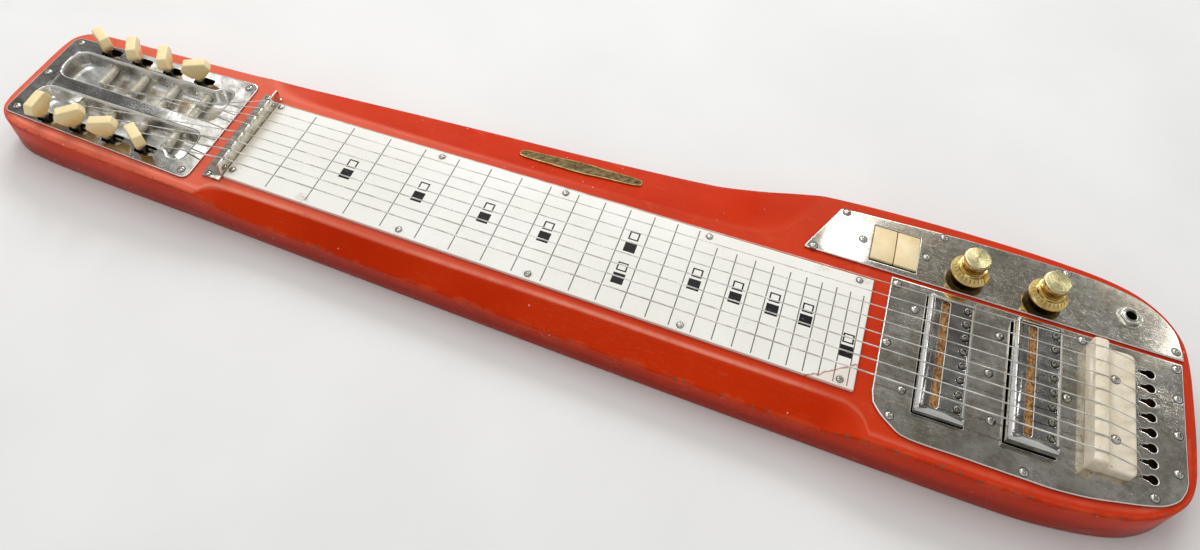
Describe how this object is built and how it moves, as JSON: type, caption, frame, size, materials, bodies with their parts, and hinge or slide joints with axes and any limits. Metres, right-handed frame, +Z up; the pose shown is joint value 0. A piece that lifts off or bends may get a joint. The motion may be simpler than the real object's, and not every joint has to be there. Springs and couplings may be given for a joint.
{
  "type": "lap steel guitar",
  "caption": "Lap steel guitar: solid painted body, worm-geared tuners in a pressed head plate, chrome nut, flat fretboard, two pickups, bridge and controls.",
  "frame": {"origin": "middle of the floor area of the body's bounding box, on the floor", "axes": "+X from the tuners towards the tail, +Y away from the player, +Z up"},
  "size_m": [0.812, 0.1734, 0.054],
  "materials": {
    "red_paint": "gloss vermilion paint, chipped along the edges",
    "plate_chrome": "polished plating, lightly pitted and scratched",
    "tuner_steel": "plated steel, dulled",
    "cream_button": "moulded cream plastic",
    "post_chrome": "polished plating",
    "nut_chrome": "polished plating",
    "white_board": "gloss white sheet",
    "pickup_chrome": "polished plating",
    "coil_ochre": "flecked ochre bobbin",
    "pole_steel": "plated steel",
    "marbled_cream": "marbled cream moulding",
    "string_steel": "plain and wound wire",
    "dark_plastic": "dark moulding",
    "cream_tab": "moulded cream plastic",
    "control_steel": "plated steel",
    "gold_knob": "gold-coloured, turned",
    "jack_chrome": "polished plating",
    "aged_brass": "aged, unmarked"
  },
  "bodies": {
    "body": {"body": "red_paint", "head_plate": "plate_chrome", "tuner_rail_far": "tuner_steel", "tuner_rail_near": "tuner_steel", "nut": "nut_chrome", "fretboard": "white_board", "pickup_plate": "plate_chrome", "pickup_cover_neck": "pickup_chrome", "pickup_coil_neck": "coil_ochre", "pole_screws_neck": "pole_steel", "pickup_cover_bridge": "pickup_chrome", "pickup_coil_bridge": "coil_ochre", "pole_screws_bridge": "pole_steel", "bridge": "marbled_cream", "string_1": "string_steel", "string_2": "string_steel", "string_3": "string_steel", "string_4": "string_steel", "string_5": "string_steel", "string_6": "string_steel", "string_7": "string_steel", "string_8": "string_steel", "control_plate": "plate_chrome", "switch_box": "dark_plastic", "volume_pot": "control_steel", "tone_pot": "control_steel", "jack_bush": "jack_chrome", "jack_frame": "control_steel", "name_plate": "aged_brass"},
    "tuner_key_far_1": {"worm_shaft_far_1": "tuner_steel", "tuner_button_far_1": "cream_button"},
    "post_far_1": {"string_post_far_1": "post_chrome"},
    "tuner_key_far_2": {"worm_shaft_far_2": "tuner_steel", "tuner_button_far_2": "cream_button"},
    "post_far_2": {"string_post_far_2": "post_chrome"},
    "tuner_key_far_3": {"worm_shaft_far_3": "tuner_steel", "tuner_button_far_3": "cream_button"},
    "post_far_3": {"string_post_far_3": "post_chrome"},
    "tuner_key_far_4": {"worm_shaft_far_4": "tuner_steel", "tuner_button_far_4": "cream_button"},
    "post_far_4": {"string_post_far_4": "post_chrome"},
    "tuner_key_near_1": {"worm_shaft_near_1": "tuner_steel", "tuner_button_near_1": "cream_button"},
    "post_near_1": {"string_post_near_1": "post_chrome"},
    "tuner_key_near_2": {"worm_shaft_near_2": "tuner_steel", "tuner_button_near_2": "cream_button"},
    "post_near_2": {"string_post_near_2": "post_chrome"},
    "tuner_key_near_3": {"worm_shaft_near_3": "tuner_steel", "tuner_button_near_3": "cream_button"},
    "post_near_3": {"string_post_near_3": "post_chrome"},
    "tuner_key_near_4": {"worm_shaft_near_4": "tuner_steel", "tuner_button_near_4": "cream_button"},
    "post_near_4": {"string_post_near_4": "post_chrome"},
    "volume_knob_turned": {"volume_knob": "gold_knob"},
    "tone_knob_turned": {"tone_knob": "gold_knob"},
    "rocker_head": {"rocker_tab_head": "cream_tab"},
    "rocker_tail": {"rocker_tab_tail": "cream_tab"}
  },
  "joints": [
    {"name": "key_turn_far_1", "type": "hinge", "parent": "body", "child": "tuner_key_far_1", "pos_m": [-0.3675, 0.01746, 0.0242], "axis": [0, 0, 1], "continuous": true},
    {"name": "post_turn_far_1", "type": "hinge", "parent": "body", "child": "post_far_1", "pos_m": [-0.3595, 0.01746, 0.0242], "axis": [0, 1, 0], "continuous": true},
    {"name": "key_turn_far_2", "type": "hinge", "parent": "body", "child": "tuner_key_far_2", "pos_m": [-0.341, 0.01746, 0.0242], "axis": [0, 0, 1], "continuous": true},
    {"name": "post_turn_far_2", "type": "hinge", "parent": "body", "child": "post_far_2", "pos_m": [-0.333, 0.01746, 0.0242], "axis": [0, 1, 0], "continuous": true},
    {"name": "key_turn_far_3", "type": "hinge", "parent": "body", "child": "tuner_key_far_3", "pos_m": [-0.3145, 0.01746, 0.0242], "axis": [0, 0, 1], "continuous": true},
    {"name": "post_turn_far_3", "type": "hinge", "parent": "body", "child": "post_far_3", "pos_m": [-0.3065, 0.01746, 0.0242], "axis": [0, 1, 0], "continuous": true},
    {"name": "key_turn_far_4", "type": "hinge", "parent": "body", "child": "tuner_key_far_4", "pos_m": [-0.288, 0.01746, 0.0242], "axis": [0, 0, 1], "continuous": true},
    {"name": "post_turn_far_4", "type": "hinge", "parent": "body", "child": "post_far_4", "pos_m": [-0.28, 0.01746, 0.0242], "axis": [0, 1, 0], "continuous": true},
    {"name": "key_turn_near_1", "type": "hinge", "parent": "body", "child": "tuner_key_near_1", "pos_m": [-0.3675, -0.05204, 0.0242], "axis": [0, 0, 1], "continuous": true},
    {"name": "post_turn_near_1", "type": "hinge", "parent": "body", "child": "post_near_1", "pos_m": [-0.3595, -0.05204, 0.0242], "axis": [0, 1, 0], "continuous": true},
    {"name": "key_turn_near_2", "type": "hinge", "parent": "body", "child": "tuner_key_near_2", "pos_m": [-0.341, -0.05204, 0.0242], "axis": [0, 0, 1], "continuous": true},
    {"name": "post_turn_near_2", "type": "hinge", "parent": "body", "child": "post_near_2", "pos_m": [-0.333, -0.05204, 0.0242], "axis": [0, 1, 0], "continuous": true},
    {"name": "key_turn_near_3", "type": "hinge", "parent": "body", "child": "tuner_key_near_3", "pos_m": [-0.3145, -0.05204, 0.0242], "axis": [0, 0, 1], "continuous": true},
    {"name": "post_turn_near_3", "type": "hinge", "parent": "body", "child": "post_near_3", "pos_m": [-0.3065, -0.05204, 0.0242], "axis": [0, 1, 0], "continuous": true},
    {"name": "key_turn_near_4", "type": "hinge", "parent": "body", "child": "tuner_key_near_4", "pos_m": [-0.288, -0.05204, 0.0242], "axis": [0, 0, 1], "continuous": true},
    {"name": "post_turn_near_4", "type": "hinge", "parent": "body", "child": "post_near_4", "pos_m": [-0.28, -0.05204, 0.0242], "axis": [0, 1, 0], "continuous": true},
    {"name": "volume_turn", "type": "hinge", "parent": "body", "child": "volume_knob_turned", "pos_m": [0.26599, 0.04936, 0.03265], "axis": [0, 0, 1], "range_deg": [-150, 150]},
    {"name": "tone_turn", "type": "hinge", "parent": "body", "child": "tone_knob_turned", "pos_m": [0.31539, 0.04936, 0.03265], "axis": [0, 0, 1], "range_deg": [-150, 150]},
    {"name": "rocker_tilt_head", "type": "hinge", "parent": "body", "child": "rocker_head", "pos_m": [0.21075, 0.05396, 0.02615], "axis": [1, 0, 0], "range_deg": [0, 8]},
    {"name": "rocker_tilt_tail", "type": "hinge", "parent": "body", "child": "rocker_tail", "pos_m": [0.22625, 0.05396, 0.02615], "axis": [1, 0, 0], "range_deg": [0, 8]}
  ],
  "couplings": [
    {"joint": "post_turn_far_1", "follows": "key_turn_far_1", "ratio": -0.071429},
    {"joint": "post_turn_far_2", "follows": "key_turn_far_2", "ratio": -0.071429},
    {"joint": "post_turn_far_3", "follows": "key_turn_far_3", "ratio": -0.071429},
    {"joint": "post_turn_far_4", "follows": "key_turn_far_4", "ratio": -0.071429},
    {"joint": "post_turn_near_1", "follows": "key_turn_near_1", "ratio": -0.071429},
    {"joint": "post_turn_near_2", "follows": "key_turn_near_2", "ratio": -0.071429},
    {"joint": "post_turn_near_3", "follows": "key_turn_near_3", "ratio": -0.071429},
    {"joint": "post_turn_near_4", "follows": "key_turn_near_4", "ratio": -0.071429}
  ]
}
